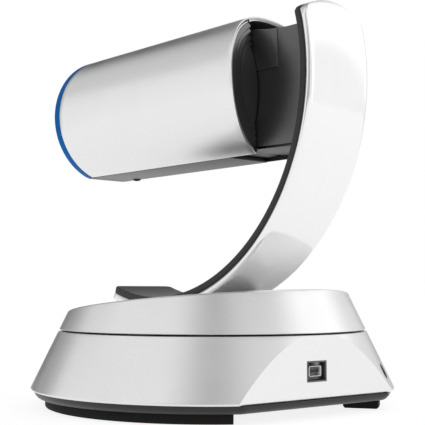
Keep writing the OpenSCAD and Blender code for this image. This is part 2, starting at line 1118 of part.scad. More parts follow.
// Tilt gear fixed on the axle
module tilt_gear() {
    color([0.87, 0.86, 0.8])
        difference() {
            translate([-5, tilt_y, tilt_z])
                rotate([90, 0, 90])
                    linear_extrude(height = 5)
                        gear_outline(tilt_gear_teeth);
            bar_x(-20, 20, tilt_y, tilt_z, 4);
            for (a = [0 : 4])
                translate([-6, tilt_y, tilt_z])
                    rotate([a * 72, 0, 0])
                        translate([0, 10, 0])
                            rotate([0, 90, 0])
                                cylinder(h = 7, r = 2.6);
        }
}

// Clips that lock the axle in the cheeks
module axle_clips() {
    color([0.35, 0.35, 0.36])
        for (s = [-1, 1])
            difference() {
                bar_x(s > 0 ? 16.2 : -17.2, s > 0 ? 17.2 : -16.2, tilt_y, tilt_z, 6.5);
                bar_x(-30, 30, tilt_y, tilt_z, 4);
            }
}

// ---- turning and sliding drive pieces ----

// Pan pinion and motor shaft
module pan_pinion() {
    color([0.8, 0.7, 0.42])
        translate([0, -pan_centres, 0])
            union() {
                translate([0, 0, 25.2])
                    linear_extrude(height = 4.8)
                        rotate([0, 0, 90 + 180 / pan_pinion_teeth])
                            gear_outline(pan_pinion_teeth);
                translate([0, 0, plate_top + 2.4])
                    cylinder(h = 20, r = 2);
            }
}

// Tilt pinion and motor shaft
module tilt_pinion() {
    color([0.8, 0.7, 0.42])
        union() {
            translate([-5.4, tilt_y + tilt_centres, tilt_z])
                rotate([90, 0, 90])
                    linear_extrude(height = 5.8)
                        rotate([0, 0, 180 / tilt_pinion_teeth])
                            gear_outline(tilt_pinion_teeth);
            bar_x(-6, 8.6, tilt_y + tilt_centres, tilt_z, 1.5);
        }
}

// A round carriage that slides on the guide rods
module carriage(y, thick, hole) {
    difference() {
        bar_y(y - thick / 2, y + thick / 2, 0, head_height, 21.6);
        bar_y(y - 20, y + 20, 0, head_height, hole);
        for (x = rod_spots)
            bar_y(y - 20, y + 20, x, head_height, rod_radius + running_gap);
    }
}

// Sliding zoom carriage
module zoom_carriage() {
    color([0.16, 0.16, 0.17])
        carriage(zoom_y, 7, 12);
}

// Lens carried by the zoom carriage
module zoom_lens() {
    color([0.4, 0.5, 0.62, 0.5])
        lens(zoom_y, 12, 2, 2.2, 2.2);
}

// Sliding focus carriage
module focus_carriage() {
    color([0.16, 0.16, 0.17])
        carriage(focus_y, 5, 10);
}

// Lens carried by the focus carriage
module focus_lens() {
    color([0.4, 0.5, 0.62, 0.5])
        lens(focus_y, 10, 1.6, 1.6, 1.6);
}

base_shell();
base_plate();
foot_ring();
tripod_insert();
port_cup();
port_shell();
port_tongue();
lock_slot_insert();
main_board();
main_processor();
board_standoffs();
pan_post();
pan_retainer();
pan_motor();
base_screws();
turntable_shell();
turntable_chassis();
pan_gear();
turntable_screws();
arm_shell();
arm_liner();
arm_fairing();
arm_saddle();
arm_screws();
neck_left();
neck_right();
neck_cap();
neck_sole();
neck_screws();
neck_fixings();
axle_bushings();
tilt_motor();
head_shell();
ring_trim();
front_bezel();
front_glass();
ring_light_board();
lens_barrel();
front_lens();
guide_rods();
image_sensor();
sensor_board();
sensor_spacers();
head_chassis();
rear_cowl();
underside_panel();
underside_bumper();
tilt_axle();
tilt_gear();
axle_clips();
pan_pinion();
tilt_pinion();
zoom_carriage();
zoom_lens();
focus_carriage();
focus_lens();
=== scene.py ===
import json
import math

import bmesh
import bpy
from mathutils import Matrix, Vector


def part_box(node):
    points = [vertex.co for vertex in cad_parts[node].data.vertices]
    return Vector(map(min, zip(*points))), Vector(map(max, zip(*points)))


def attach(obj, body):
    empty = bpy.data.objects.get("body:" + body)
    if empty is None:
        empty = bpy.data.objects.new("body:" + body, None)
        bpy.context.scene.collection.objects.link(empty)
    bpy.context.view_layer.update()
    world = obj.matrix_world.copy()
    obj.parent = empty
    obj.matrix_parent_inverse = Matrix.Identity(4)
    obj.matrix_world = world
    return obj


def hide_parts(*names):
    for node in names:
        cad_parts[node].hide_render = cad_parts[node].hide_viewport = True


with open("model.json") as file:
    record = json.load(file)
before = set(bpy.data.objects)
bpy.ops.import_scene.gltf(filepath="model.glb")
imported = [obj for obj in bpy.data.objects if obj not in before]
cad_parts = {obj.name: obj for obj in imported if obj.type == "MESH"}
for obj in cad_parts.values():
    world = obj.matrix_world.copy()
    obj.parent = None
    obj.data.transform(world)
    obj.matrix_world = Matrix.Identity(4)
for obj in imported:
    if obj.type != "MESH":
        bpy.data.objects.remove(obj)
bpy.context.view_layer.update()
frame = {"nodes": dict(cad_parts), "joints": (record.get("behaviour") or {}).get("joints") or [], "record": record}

MM = 0.001
AXIS_R = 0.01 * MM  # radius that stands for a point on the axis of a turned shape

# ---------------------------------------------------------------- sizes from the frame

BASE_LOW, BASE_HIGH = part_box("base_shell")
TURN_LOW, TURN_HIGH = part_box("turntable_shell")
FOOT_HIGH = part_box("foot_ring")[1]
ARM_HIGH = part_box("arm_shell")[1]
HEAD_LOW, HEAD_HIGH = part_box("head_shell")
RING_LOW, RING_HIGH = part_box("ring_trim")
NECK_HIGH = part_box("neck_left")[1]
CAP_LOW, CAP_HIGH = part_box("neck_cap")
PANEL_LOW, PANEL_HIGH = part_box("underside_panel")
GLASS_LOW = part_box("front_glass")[0]
BARREL_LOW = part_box("lens_barrel")[0]
SOLE_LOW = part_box("neck_sole")[0]
MOUNTS = {m["name"]: m for m in frame["record"]["mounts"]}
JOINTS = {j["name"]: j for j in frame["joints"]}

# Base: a cone turned about the pan axis, with one flat panel at the rear
BASE_R = BASE_HIGH.x
LIP_Z = BASE_LOW.z + 1 * MM
CONE_SLOPE = (BASE_R - TURN_HIGH.x) / (TURN_LOW.z - LIP_Z)
BASE_TURN = math.radians(-2.8)
FACET = 76.3 * MM
PLATE_FACET = FACET - 0.3 * MM
COVER_WALL = 2.6 * MM
LEVEL_WALL = COVER_WALL * 1.11  # the sloping wall, measured level
TOP_SLANT = math.tan(math.radians(5.6))
TOP_Z = TURN_HIGH.z - TOP_SLANT * (BASE_R - CONE_SLOPE * (TURN_HIGH.z - LIP_Z))

# Arm: a band bent about one centre in the Y-Z plane
ARM_Y, ARM_Z = -23 * MM, 155 * MM
ARM_OUTER = ARM_HIGH.y - ARM_Y
ARM_SPLIT = ARM_OUTER - 4.3 * MM
ARM_INNER = ARM_SPLIT - 3.4 * MM
ARM_HALF = ARM_HIGH.x
ARM_FRONT = math.radians(-19.6)

# Head: a tube along Y with a flat underside and a scooped rear edge
HEAD_R = HEAD_HIGH.x
HEAD_Z = HEAD_HIGH.z - HEAD_R
HEAD_WALL = 2 * MM
HEAD_FRONT = HEAD_LOW.y
FLAT_Z = HEAD_LOW.z
FLAT_HALF = PANEL_HIGH.x
FLAT_END = PANEL_HIGH.y
SCOOP_Y, SCOOP_Z, SCOOP_R = -8 * MM, 150 * MM, 60.3 * MM

# Neck and the tilt axis
NECK_HALF = NECK_HIGH.x
TILT_Y, TILT_Z = JOINTS["tilt"]["pos_m"][1], JOINTS["tilt"]["pos_m"][2]
DRUM_R = 27 * MM


# ---------------------------------------------------------------- materials


def new_material(name, color, metallic, roughness, specular=None):
    """A Principled material and its shader; constants sit on the shader's own sockets."""
    material = bpy.data.materials.new(name)
    material.use_nodes = True
    shader = material.node_tree.nodes["Principled BSDF"]
    shader.inputs["Base Color"].default_value = (*color, 1)
    shader.inputs["Metallic"].default_value = metallic
    shader.inputs["Roughness"].default_value = roughness
    if specular is not None:
        shader.inputs["Specular IOR Level"].default_value = specular
    return material, shader


def node_tools(shader):
    """The nodes and links of the tree that a shader is in."""
    return shader.id_data.nodes, shader.id_data.links


def noise(shader, scale, detail, stretch=(1, 1, 1)):
    """Noise in object coordinates, in features per metre."""
    nodes, links = node_tools(shader)
    place = nodes.new("ShaderNodeTexCoord")
    mapping = nodes.new("ShaderNodeMapping")
    mapping.inputs["Scale"].default_value = stretch
    texture = nodes.new("ShaderNodeTexNoise")
    texture.inputs["Scale"].default_value = scale
    texture.inputs["Detail"].default_value = detail
    links.new(place.outputs["Object"], mapping.inputs["Vector"])
    links.new(mapping.outputs["Vector"], texture.inputs["Vector"])
    return texture.outputs["Fac"]


def bump(shader, height, strength, distance):
    nodes, links = node_tools(shader)
    node = nodes.new("ShaderNodeBump")
    node.inputs["Strength"].default_value = strength
    node.inputs["Distance"].default_value = distance
    links.new(height, node.inputs["Height"])
    links.new(node.outputs["Normal"], shader.inputs["Normal"])


def vary_roughness(shader, pattern, low, high):
    nodes, links = node_tools(shader)
    ramp = nodes.new("ShaderNodeMapRange")
    ramp.inputs["From Min"].default_value = 0.3
    ramp.inputs["From Max"].default_value = 0.7
    ramp.inputs["To Min"].default_value = low
    ramp.inputs["To Max"].default_value = high
    links.new(pattern, ramp.inputs["Value"])
    links.new(ramp.outputs["Result"], shader.inputs["Roughness"])


def vary_color(shader, pattern, dark, light):
    nodes, links = node_tools(shader)
    ramp = nodes.new("ShaderNodeValToRGB")
    ramp.color_ramp.elements[0].position = 0.35
    ramp.color_ramp.elements[1].position = 0.65
    ramp.color_ramp.elements[0].color = (*dark, 1)
    ramp.color_ramp.elements[1].color = (*light, 1)
    links.new(pattern, ramp.inputs["Fac"])
    links.new(ramp.outputs["Color"], shader.inputs["Base Color"])


def coat(shader, weight, roughness):
    shader.inputs["Coat Weight"].default_value = weight
    shader.inputs["Coat Roughness"].default_value = roughness


def satin_silver():
    material, shader = new_material("satin_silver_paint", (0.82, 0.822, 0.824), 0.85, 0.3)
    vary_color(shader, noise(shader, 900, 2), (0.81, 0.812, 0.814), (0.83, 0.832, 0.834))
    vary_roughness(shader, noise(shader, 60, 4), 0.27, 0.33)
    return material


def polished_silver():
    material, shader = new_material("polished_silver", (0.9, 0.901, 0.903), 0.75, 0.1)
    vary_roughness(shader, noise(shader, 45, 3), 0.09, 0.13)
    bump(shader, noise(shader, 90, 2), 0.02, 0.05 * MM)
    return material


def dark_plastic():
    material, shader = new_material("dark_plastic", (0.016, 0.016, 0.0165), 0, 0.4, specular=0.9)
    grain = noise(shader, 1600, 3)
    vary_color(shader, grain, (0.014, 0.014, 0.0145), (0.018, 0.018, 0.0185))
    coat(shader, 0.8, 0.36)
    vary_roughness(shader, noise(shader, 80, 3), 0.38, 0.43)
    bump(shader, grain, 0.05, 0.03 * MM)
    return material


def foot_rubber():
    material, shader = new_material("foot_rubber", (0.008, 0.008, 0.008), 0, 0.75, specular=0.15)
    grain = noise(shader, 1800, 4)
    vary_color(shader, grain, (0.006, 0.006, 0.006), (0.011, 0.011, 0.011))
    bump(shader, grain, 0.3, 0.08 * MM)
    return material


def black_plastic():
    material, shader = new_material("black_plastic", (0.012, 0.012, 0.013), 0, 0.4, specular=0.4)
    grain = noise(shader, 2600, 3)
    vary_color(shader, grain, (0.009, 0.009, 0.01), (0.016, 0.016, 0.017))
    bump(shader, grain, 0.04, 0.03 * MM)
    return material


def blue_ring():
    material, shader = new_material("blue_ring", (0.001, 0.11, 0.38), 0, 0.4, specular=0.03)
    vary_color(shader, noise(shader, 30, 2), (0.001, 0.104, 0.36), (0.001, 0.116, 0.4))
    return material


def grey_panel():
    material, shader = new_material("grey_panel", (0.19, 0.192, 0.195), 0, 0.5, specular=0.2)
    grain = noise(shader, 3000, 3)
    vary_color(shader, grain, (0.18, 0.182, 0.185), (0.2, 0.202, 0.205))
    bump(shader, grain, 0.1, 0.03 * MM)
    return material


def connector_metal():
    material, shader = new_material("plated_metal", (0.72, 0.73, 0.75), 1, 0.25)
    vary_roughness(shader, noise(shader, 400, 3, (1, 1, 12)), 0.2, 0.34)
    return material


def machined_aluminium():
    material, shader = new_material("machined_aluminium", (0.55, 0.56, 0.58), 1, 0.35)
    vary_roughness(shader, noise(shader, 300, 3, (1, 1, 14)), 0.28, 0.42)
    return material


def dark_metal():
    material, shader = new_material("blackened_steel", (0.1, 0.1, 0.105), 0.9, 0.4)
    vary_roughness(shader, noise(shader, 500, 3), 0.34, 0.48)
    return material


def brass():
    material, shader = new_material("brass", (0.6, 0.42, 0.17), 1, 0.3)
    vary_roughness(shader, noise(shader, 400, 3, (1, 1, 10)), 0.25, 0.4)
    return material


def circuit_board():
    material, shader = new_material("circuit_board", (0.01, 0.09, 0.035), 0, 0.35)
    vary_color(shader, noise(shader, 260, 1, (4, 1, 1)), (0.008, 0.07, 0.028), (0.014, 0.12, 0.05))
    return material


def gear_plastic():
    material, shader = new_material("gear_plastic", (0.6, 0.58, 0.5), 0, 0.45)
    vary_color(shader, noise(shader, 70, 3), (0.57, 0.55, 0.47), (0.63, 0.61, 0.53))
    return material


def rod_steel():
    material, shader = new_material("rod_steel", (0.66, 0.67, 0.69), 1, 0.18)
    vary_roughness(shader, noise(shader, 600, 3, (14, 1, 1)), 0.14, 0.24)
    return material


def window_glass():
    material, shader = new_material("tinted_window", (0.008, 0.009, 0.012), 0, 0.04)
    vary_roughness(shader, noise(shader, 40, 2), 0.03, 0.05)
    coat(shader, 1, 0.02)
    shader.inputs["Alpha"].default_value = 0.55
    return material


def lens_glass():
    material, shader = new_material("coated_lens", (0.05, 0.04, 0.09), 0, 0.03)
    vary_roughness(shader, noise(shader, 40, 2), 0.02, 0.04)
    shader.inputs["Coat Weight"].default_value = 1
    shader.inputs["Coat Tint"].default_value = (0.55, 0.6, 1, 1)
    return material


# One material for each of the record's slots
MATERIALS = {
    "satin_silver": satin_silver(),
    "polished_silver": polished_silver(),
    "dark_plastic": dark_plastic(),
    "foot_rubber": foot_rubber(),
    "black_plastic": black_plastic(),
    "blue_ring": blue_ring(),
    "grey_panel": grey_panel(),
    "connector_metal": connector_metal(),
    "machined_aluminium": machined_aluminium(),
    "dark_metal": dark_metal(),
    "brass": brass(),
    "circuit_board": circuit_board(),
    "gear_plastic": gear_plastic(),
    "rod_steel": rod_steel(),
    "window_glass": window_glass(),
    "lens_glass": lens_glass(),
}


# ---------------------------------------------------------------- mesh helpers


def piece(name, verts, faces, body, slot, replaces=(), bevel=0.0, segments=3, sharp=30):
    """Makes a smooth-shaded object that rides on a body and wears its slot's material."""
    mesh = bpy.data.meshes.new(name)
    mesh.from_pydata([tuple(v) for v in verts], [], faces)
    bm = bmesh.new()
    bm.from_mesh(mesh)
    bmesh.ops.remove_doubles(bm, verts=bm.verts, dist=2e-6)
    bmesh.ops.recalc_face_normals(bm, faces=bm.faces)
    bm.to_mesh(mesh)
    bm.free()
    obj = bpy.data.objects.new(name, mesh)
    bpy.context.scene.collection.objects.link(obj)
    mesh.materials.append(MATERIALS[slot])
    if bevel:
        modifier = obj.modifiers.new("edges", "BEVEL")
        modifier.width = bevel
        modifier.segments = segments
        modifier.limit_method = "ANGLE"
        modifier.angle_limit = math.radians(35)
        modifier.use_clamp_overlap = True
        settle(obj)
    shade(obj, sharp)
    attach(obj, body)
    if replaces:
        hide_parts(*replaces)
    return obj


def shade(obj, sharp):
    obj.data.shade_smooth()
    obj.data.set_sharp_from_angle(angle=math.radians(sharp))


def settle(obj):
    """Applies an object's modifiers to its mesh."""
    graph = bpy.context.evaluated_depsgraph_get()
    made = bpy.data.meshes.new_from_object(obj.evaluated_get(graph))
    obj.modifiers.clear()
    old = obj.data
    obj.data = made
    bpy.data.meshes.remove(old)


def cut(obj, cutters, sharp=30):
    """Takes closed cutter meshes, given as (verts, faces), out of an object."""
    for verts, faces in cutters:
        mesh = bpy.data.meshes.new("cutter")
        mesh.from_pydata([tuple(v) for v in verts], [], faces)
        bm = bmesh.new()
        bm.from_mesh(mesh)
        bmesh.ops.recalc_face_normals(bm, faces=bm.faces)
        bm.to_mesh(mesh)
        bm.free()
        tool = bpy.data.objects.new("cutter", mesh)
        bpy.context.scene.collection.objects.link(tool)
        modifier = obj.modifiers.new("cut", "BOOLEAN")
        modifier.operation = "DIFFERENCE"
        modifier.solver = "EXACT"
        modifier.object = tool
        settle(obj)
        bpy.data.objects.remove(tool)
        bpy.data.meshes.remove(mesh)
    shade(obj, sharp)


def grid(rows, close_rows=False, close_columns=False):
    """Vertices and quads of a grid given as rows of points."""
    width = len(rows[0])
    verts = [p for row in rows for p in row]
    faces = []
    for i in range(len(rows) if close_rows else len(rows) - 1):
        for j in range(width if close_columns else width - 1):
            a, b = i * width, (i + 1) % len(rows) * width
            k = (j + 1) % width
            faces.append((a + j, a + k, b + k, b + j))
    return verts, faces


def end_caps(count, rows):
    """The first and the last loop of a sweep, as two closing faces."""
    total = count * rows
    return [tuple(range(count)), tuple(range(total - 1, total - count - 1, -1))]


def sweep(loops):
    """A closed solid from a series of closed loops of points."""
    verts, faces = grid(loops, close_columns=True)
    return verts, faces + end_caps(len(loops[0]), len(loops))


def prism(near, far):
    """A closed solid between two matching loops of points."""
    count = len(near)
    faces = end_caps(count, 2)
    faces += [(k, (k + 1) % count, (k + 1) % count + count, k + count) for k in range(count)]
    return near + far, faces


def lathe(profile, centre, axis, steps=128):
    """Turns a closed outline of (radius, along) about an axis through centre."""
    along = Vector(axis)
    side = Vector((1, 0, 0)) if abs(along.x) < 0.5 else Vector((0, 0, 1))
    up = along.cross(side)
    rows = []
    for k in range(steps):
        t = 2 * math.pi * k / steps
        out = side * math.cos(t) + up * math.sin(t)
        rows.append([Vector(centre) + out * r + along * h for r, h in profile])
    return grid(rows, close_rows=True, close_columns=True)


def arc(centre, radius, start, end, count):
    """Points on an arc in a plane, angles in degrees."""
    made = []
    for k in range(count + 1):
        t = math.radians(start + (end - start) * k / count)
        made.append((centre[0] + radius * math.cos(t), centre[1] + radius * math.sin(t)))
    return made


def extrude_x(outline, x0, x1):
    """A prism along X from an outline of (y, z)."""
    return prism([(x0, y, z) for y, z in outline], [(x1, y, z) for y, z in outline])


def box_mesh(low, high, place=lambda p: p):
    corners = [(x, y, z) for x in (low[0], high[0]) for y in (low[1], high[1]) for z in (low[2], high[2])]
    faces = [(0, 1, 3, 2), (4, 6, 7, 5), (0, 4, 5, 1), (2, 3, 7, 6), (0, 2, 6, 4), (1, 5, 7, 3)]
    return [place(Vector(c)) for c in corners], faces


def turned(p, angle=BASE_TURN):
    """A point of the base as it stands, turned about the pan axis."""
    c, s = math.cos(angle), math.sin(angle)
    return Vector((p[0] * c - p[1] * s, p[0] * s + p[1] * c, p[2]))


# ---------------------------------------------------------------- fixed base


def cone_r(z):
    return BASE_R - CONE_SLOPE * (z - LIP_Z)


def faceted_ring(profile, flat=28, round_steps=168):
    """Turns a closed outline of (radius, height, facet distance), keeping the rear flat."""
    rows = []
    for r, z, d in profile:
        cut_off = r > d
        half = math.acos(d / r) if cut_off else 0.2
        row = []
        for k in range(flat):
            a = half * (2 * k / flat - 1)
            if cut_off:
                row.append(turned((-d * math.tan(half) * (2 * k / flat - 1), d, z)))
            else:
                row.append(turned((-r * math.sin(a), r * math.cos(a), z)))
        for k in range(round_steps):
            a = half + (2 * math.pi - 2 * half) * k / round_steps
            row.append(turned((-r * math.sin(a), r * math.cos(a), z)))
        rows.append(row)
    return grid(rows, close_rows=True, close_columns=True)


def cone_profile():
    """Closed outline of the lower cover: inside edge, lip, cone, top flange, inside wall."""
    low, top = BASE_LOW.z, BASE_HIGH.z
    inset = LEVEL_WALL
    lip = [(BASE_R - 3.2 * MM, low), (BASE_R - 1.6 * MM, low)]
    lip += [(BASE_R - x * MM, low + h * MM) for x, h in ((1.0, 0.12), (0.55, 0.4), (0.2, 0.75))]
    lip += [(BASE_R - 0.04 * MM, LIP_Z - 0.02 * MM), (cone_r(LIP_Z + 0.3 * MM), LIP_Z + 0.3 * MM)]
    steps = 22
    start, end = LIP_Z + 1.0 * MM, top - 0.5 * MM
    heights = [start + (end - start) * k / steps for k in range(steps + 1)]
    cone = [(cone_r(z), z) for z in heights]
    cone += [(cone_r(top) + 0.02 * MM, top - 0.15 * MM), (cone_r(top) - 0.35 * MM, top)]
    outer = [(r, z, FACET - (cone_r(max(z, LIP_Z)) - r)) for r, z in lip + cone]
    ceiling = top - 2.4 * MM
    inner = [(60 * MM, top, FACET), (54 * MM, top, FACET), (54 * MM, ceiling, FACET)]
    inner += [(cone_r(ceiling) - inset, ceiling, FACET - COVER_WALL)]
    inner += [(cone_r(low) - inset - 0.6 * MM, low, FACET - COVER_WALL)]
    return outer + inner


def slot_outline(width, length, steps):
    """Points of a round-ended slot, long along its second axis."""
    reach = (length - width) / 2
    outline = arc((0, reach), width / 2, 0, 180, steps)
    return outline + arc((0, -reach), width / 2, 180, 360, steps)


def rounded_slot(place, width, length, front, back, steps=10):
    """A round-ended bar, long along local Z, between two local depths."""
    outline = slot_outline(width, length, steps)
    near, far = ([place(Vector((x, y, z))) for x, z in outline] for y in (back, front))
    return prism(near, far)


def lock_place(p):
    """From the lock slot's own directions (local Y out of the cone) to the row frame."""
    mount = MOUNTS["cable_lock_slot"]
    out = Vector(mount["axis"]).normalized()
    side = Vector((-out.y, out.x, 0)).normalized()
    up = -side.cross(out)
    if up.z < 0:
        up = -up
    return Vector(mount["pos_m"]) + side * p[0] + out * p[1] + up * p[2]


def port_place(p):
    """From the data port's own directions (local Y out of the rear panel) to the row frame."""
    return Vector(MOUNTS["data_port"]["pos_m"]) + turned(p)


PORT_W, PORT_H = 12.3 * MM, 9.3 * MM


def build_lower_cover():
    verts, faces = faceted_ring(cone_profile())
    cover = piece("lower_cover", verts, faces, "base", "satin_silver", ["base_shell"], sharp=20)
    w, h = PORT_W / 2, PORT_H / 2
    port_hole = box_mesh((-w, -12 * MM, -h), (w, 6 * MM, h), port_place)
    lock_hole = rounded_slot(lock_place, 5.8 * MM, 8 * MM, 4 * MM, -6 * MM)
    cut(cover, [port_hole, lock_hole], sharp=20)


def build_floor_plate():
    """Dark plate with a curved-under rim and four screw wells."""
    rim_r, screw_at = 88.3 * MM, 42.4 * MM
    low, top = FOOT_HIGH.z, BASE_LOW.z
    outline = [(6 * MM, low + 0.9 * MM), (58 * MM, low + 0.9 * MM), (58.8 * MM, low)]
    outline += [(84.9 * MM, low), (85.8 * MM, low + 0.2 * MM), (86.7 * MM, low + 0.7 * MM)]
    outline += [(87.5 * MM, low + 1.5 * MM), (88.0 * MM, low + 2.4 * MM), (88.25 * MM, top - 0.4 * MM)]
    outline += [(rim_r, top), (6 * MM, top)]
    profile = []
    for r, z in outline:
        curved_in = max(rim_r - r, 0) if r > 80 * MM else 0
        profile.append((r, z, PLATE_FACET - curved_in))
    verts, faces = faceted_ring(profile)
    plate = piece("floor_plate", verts, faces, "base", "black_plastic", ["base_plate"], sharp=28)
    well_r, well_top, below = 3.2 * MM, low + 1.9 * MM, -2 * MM
    ring = [(well_r, below), (well_r, well_top), (AXIS_R, well_top), (AXIS_R, below)]
    wells = []
    for x in (-screw_at, screw_at):
        for y in (-screw_at, screw_at):
            spot = turned((x, y, 0))
            wells.append(lathe(ring, (spot.x, spot.y, 0), (0, 0, 1), 32))
    cut(plate, wells, sharp=28)


def build_tripod_boss():
    bore, foot_low, top = 6 * MM, 1.2 * MM, FOOT_HIGH.z + 1.2 * MM
    outline = [(bore, foot_low), (11.2 * MM, foot_low), (12 * MM, 2 * MM), (12.6 * MM, top), (bore, top)]
    piece("tripod_boss", *lathe(outline, (0, 0, 0), (0, 0, 1), 64), "base", "black_plastic")


def build_base():
    build_lower_cover()
    build_floor_plate()
    build_tripod_boss()
    build_foot()
    build_port_cup()
    build_connector()
    build_lock_slot()


def build_foot():
    """Rubber ring swept between the two ends of its rear opening."""
    gap = math.radians(33)
    inner, outer, top = 66 * MM, FOOT_HIGH.x, FOOT_HIGH.z
    soft = 0.9 * MM
    section = [(outer - soft, 0), (outer - 0.3 * soft, 0.3 * soft), (outer, soft), (outer, top - 0.3 * MM)]
    section += [(outer - 0.3 * MM, top), (inner, top), (inner, soft), (inner + soft, 0)]
    rows = []
    steps = 150
    for k in range(steps + 1):
        a = gap + (2 * math.pi - 2 * gap) * k / steps
        rows.append([turned((-r * math.sin(a), r * math.cos(a), z)) for r, z in section])
    piece("rubber_foot", *sweep(rows), "base", "foot_rubber", ["foot_ring"], sharp=40)


def build_port_cup():
    """Recess in the rear panel, with a half-round key at its top."""
    w, h, wall, deep = PORT_W / 2, PORT_H / 2, 0.7 * MM, 3.2 * MM
    gap = 0.02 * MM
    loops = []
    for y, inset in ((-8 * MM, 0), (0, 0), (0, wall), (-deep, wall + 0.15 * MM)):
        a, b = w - inset - gap, h - inset - gap
        corners = ((-a, -b), (a, -b), (a, b), (-a, b))
        loops.append([port_place(Vector((x, y, z))) for x, z in corners])
    piece("port_surround", *sweep(loops), "base", "dark_plastic", ["port_cup"], bevel=0.12 * MM, segments=2)
    outline = arc((0, h - 0.5 * MM), 1.5 * MM, 180, 360, 12)
    near, far = ([port_place(Vector((x, y, z))) for x, z in outline] for y in (-deep, -0.1 * MM))
    piece("port_key", *prism(near, far), "base", "grey_panel", bevel=0.1 * MM, segments=2)


def build_connector():
    """Metal shell of the data port, and its tongue with five contacts."""
    a, b, thick = 3.85 * MM, 2.35 * MM, 0.4 * MM
    rim, rounding = -1.1 * MM, 0.1 * MM
    corner, least = 0.7 * MM, 0.25 * MM
    stations = [(-10 * MM, 0), (rim - rounding, 0), (rim, rounding)]
    stations += [(rim, thick - 0.08 * MM), (rim - rounding, thick), (-9.4 * MM, thick)]
    loops = []
    for y, inset in stations:
        outline = []
        r = max(corner - inset, least)
        for sx, sz, start in ((1, 1, 0), (-1, 1, 90), (-1, -1, 180), (1, -1, 270)):
            outline += arc((sx * (a - inset - r), sz * (b - inset - r)), r, start, start + 90, 5)
        loops.append([port_place(Vector((x, y, z))) for x, z in outline])
    piece("connector_shell", *sweep(loops), "base", "connector_metal", ["port_shell"], sharp=40)

    low, high = (-2.6 * MM, -9.6 * MM, -0.6 * MM), (2.6 * MM, -2.4 * MM, 0.6 * MM)
    verts, faces = box_mesh(low, high, port_place)
    piece("connector_tongue", verts, faces, "base", "black_plastic", ["port_tongue"], bevel=0.15 * MM)
    half, pitch, count = 0.25 * MM, 1.0 * MM, 5
    for k in range(count):
        x = (k - (count - 1) / 2) * pitch
        low, high = (x - half, -8 * MM, 0.55 * MM), (x + half, -2.7 * MM, 0.72 * MM)
        blade = box_mesh(low, high, port_place)
        piece(f"connector_contact_{k + 1}", *blade, "base", "brass", bevel=0.05 * MM, segments=2)


def build_lock_slot():
    """Metal-lined pocket with rounded ends."""
    # width, length and depth of each loop, from the back of the liner to the bottom of the slot
    stations = [(5.8, 8, -5.6), (5.8, 8, -0.25), (5.5, 7.7, -0.05)]
    stations += [(4.3, 6.5, -0.05), (4.0, 6.2, -0.35), (4.0, 6.2, -4.6)]
    loops = []
    for width, length, depth in stations:
        outline = slot_outline(width * MM, length * MM, 12)
        loops.append([lock_place(Vector((x, depth * MM, z))) for x, z in outline])
    piece("lock_slot_liner", *sweep(loops), "base", "dark_metal", ["lock_slot_insert"], sharp=35)


# ---------------------------------------------------------------- turntable


def turntable_row(out):
    """Section of the turning cover in the direction out: skirt, rounded rim, slanted top, inside."""
    low, fillet, hole, wall_top = TURN_LOW.z, 1.5 * MM, 4 * MM, 2.5 * MM
    edge = 0.3 * MM
    rise = TOP_SLANT * out.y

    def rim(shift, drop):
        """Where the slanted plane, lowered by drop, meets the cone moved in by shift."""
        r = (cone_r(TOP_Z - drop) - shift) / (1 + CONE_SLOPE * rise)
        return Vector((r, TOP_Z - drop + rise * r))

    corner = rim(0, 0)
    down = Vector((CONE_SLOPE, -1)).normalized()
    inward = Vector((-1, -rise)).normalized()
    half = math.acos(down.dot(inward)) / 2
    centre = corner + (down + inward).normalized() * (fillet / math.sin(half))
    first = corner + down * (fillet / math.tan(half)) - centre
    last = corner + inward * (fillet / math.tan(half)) - centre
    row = [(cone_r(low) - LEVEL_WALL, low), (cone_r(low) - 0.35 * MM, low), (cone_r(low + edge), low + edge)]
    top_of_cone = (centre + first).y
    for j in range(1, 9):
        z = low + edge + (top_of_cone - low - edge) * j / 9
        row.append((cone_r(z), z))
    for j in range(9):
        row.append(tuple(centre + first.lerp(last, j / 8).normalized() * fillet))
    start = (centre + last).x
    for j in range(1, 10):
        r = start + (hole - start) * j / 9
        row.append((r, TOP_Z + rise * r))
    return row + [(hole, TOP_Z + rise * hole - wall_top), tuple(rim(LEVEL_WALL, wall_top))]


def build_turntable():
    steps = 192
    rows = []
    for k in range(steps):
        t = 2 * math.pi * k / steps
        out = Vector((math.cos(t), math.sin(t)))
        rows.append([(out.x * r, out.y * r, z) for r, z in turntable_row(out)])
    verts, faces = grid(rows, close_rows=True, close_columns=True)
    piece("upper_cover", verts, faces, "turntable", "satin_silver", ["turntable_shell"], sharp=35)


# ---------------------------------------------------------------- arm


def arm_point(r, angle, x):
    """Angle 0 points straight down from the arm's centre, and 90 degrees to the rear."""
    return Vector((x, ARM_Y + r * math.sin(angle), ARM_Z - r * math.cos(angle)))


def arm_end_angles(r, x, corner, arch):
    """Where the band starts and ends at this radius and side distance."""
    past = max(abs(x) - (ARM_HALF - corner), 0)
    back = corner - math.sqrt(max(corner * corner - past * past, 0))
    side = min(abs(x), arch - 1e-6)
    top = HEAD_Z + math.sqrt(arch * arch - side * side) - back
    return ARM_FRONT + back / r, math.pi - math.acos(min(1, (top - ARM_Z) / r))


